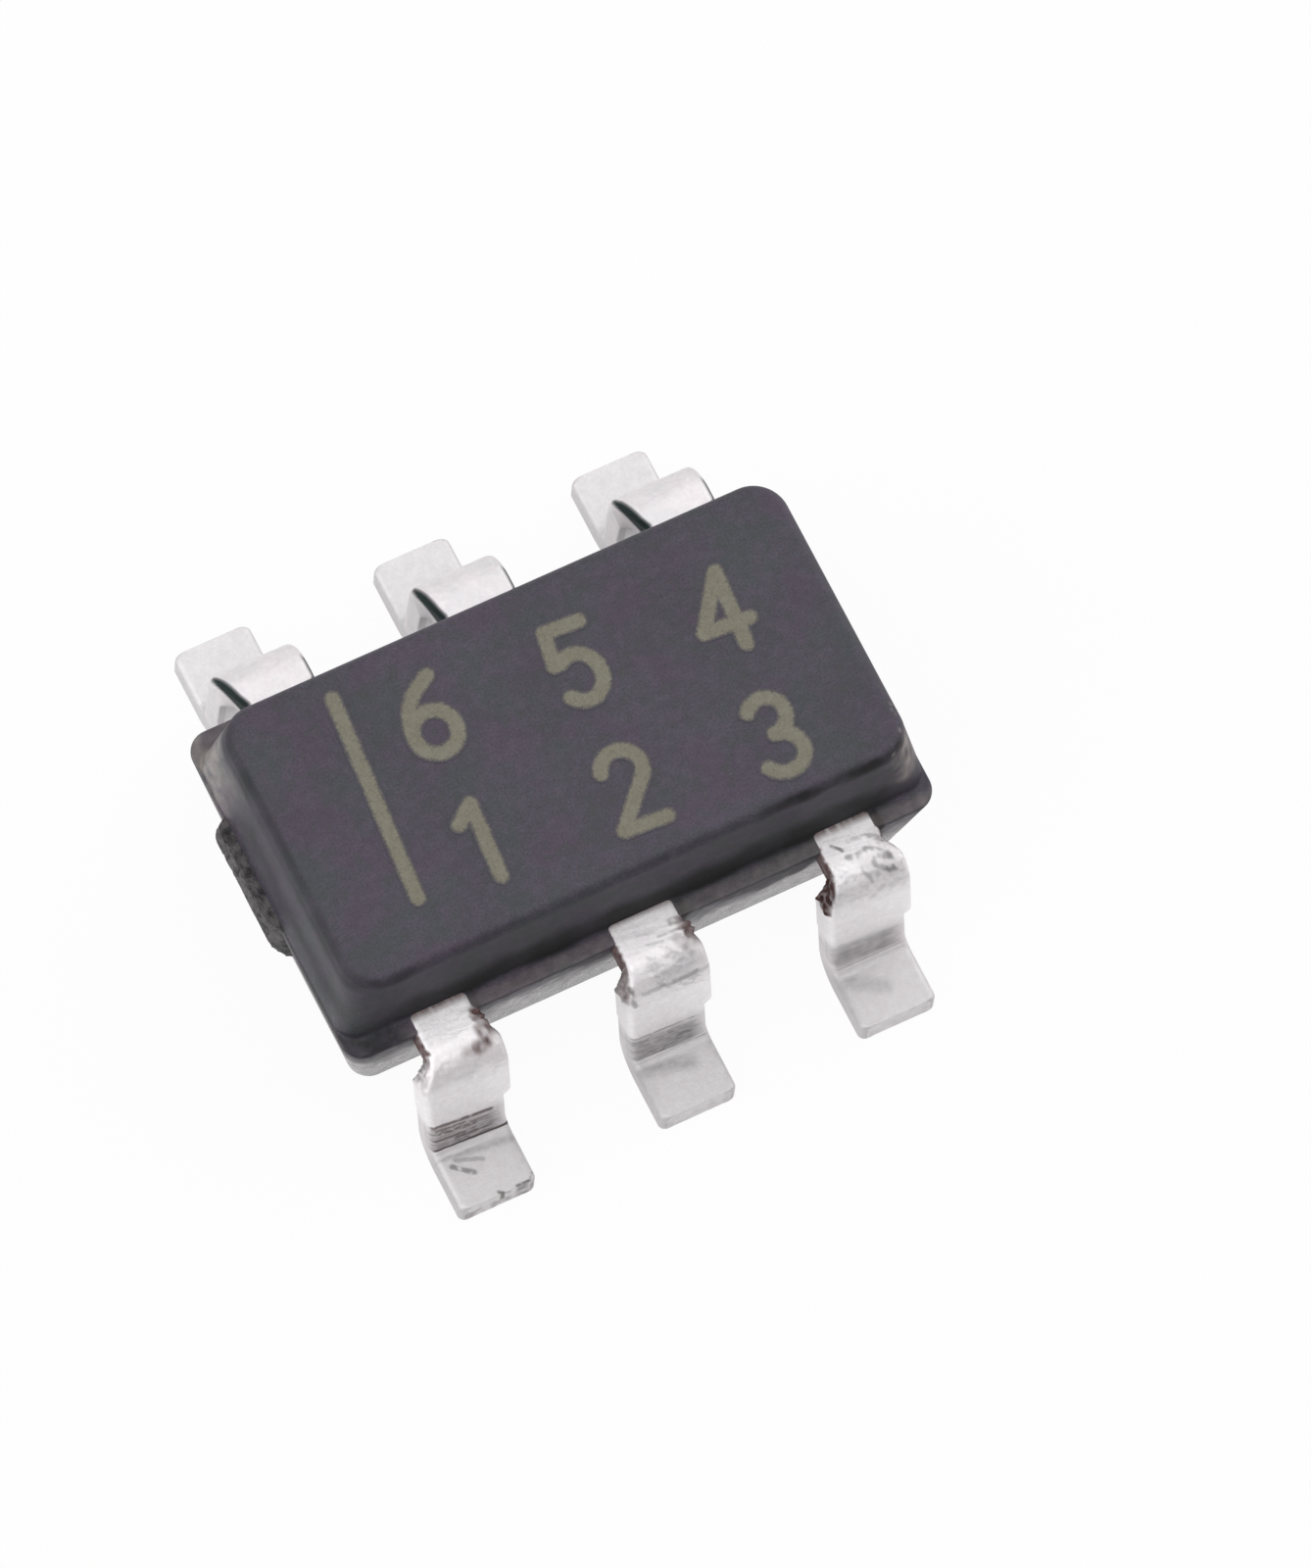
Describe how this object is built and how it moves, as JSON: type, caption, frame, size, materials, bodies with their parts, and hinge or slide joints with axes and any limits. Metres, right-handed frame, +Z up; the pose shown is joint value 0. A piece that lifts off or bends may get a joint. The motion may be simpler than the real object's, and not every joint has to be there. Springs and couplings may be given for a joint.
{
  "type": "touch sensor ic",
  "caption": "Small surface-mount touch sensor chip: a moulded epoxy block with gull-wing leads along both long sides, bond wires and silicon chip inside.",
  "frame": {"origin": "middle of the lead tips, on the plane that the feet are soldered to", "axes": "+X along the long side of the body, from the lead 1 end to the lead 3 end; +Y from the side of leads 1 to 3 to the side of leads 4 to 6; +Z up, out of the marked top face"},
  "size_m": [0.0028, 0.0028, 0.0012],
  "materials": {
    "epoxy": "fine matte, moulded",
    "tin_plate": "matte tin plating on copper",
    "bonding_paste": "silver-filled paste",
    "silicon": "polished silicon",
    "gold": "drawn gold wire"
  },
  "bodies": {
    "root": {"mould_body": "epoxy", "lead_1": "tin_plate", "lead_2_with_die_pad": "tin_plate", "lead_3": "tin_plate", "lead_4": "tin_plate", "lead_5": "tin_plate", "lead_6": "tin_plate", "die_attach": "bonding_paste", "silicon_die": "silicon", "bond_wire_1": "gold", "bond_wire_2": "gold", "bond_wire_3": "gold", "bond_wire_4": "gold", "bond_wire_5": "gold", "bond_wire_6": "gold"}
  },
  "joints": []
}
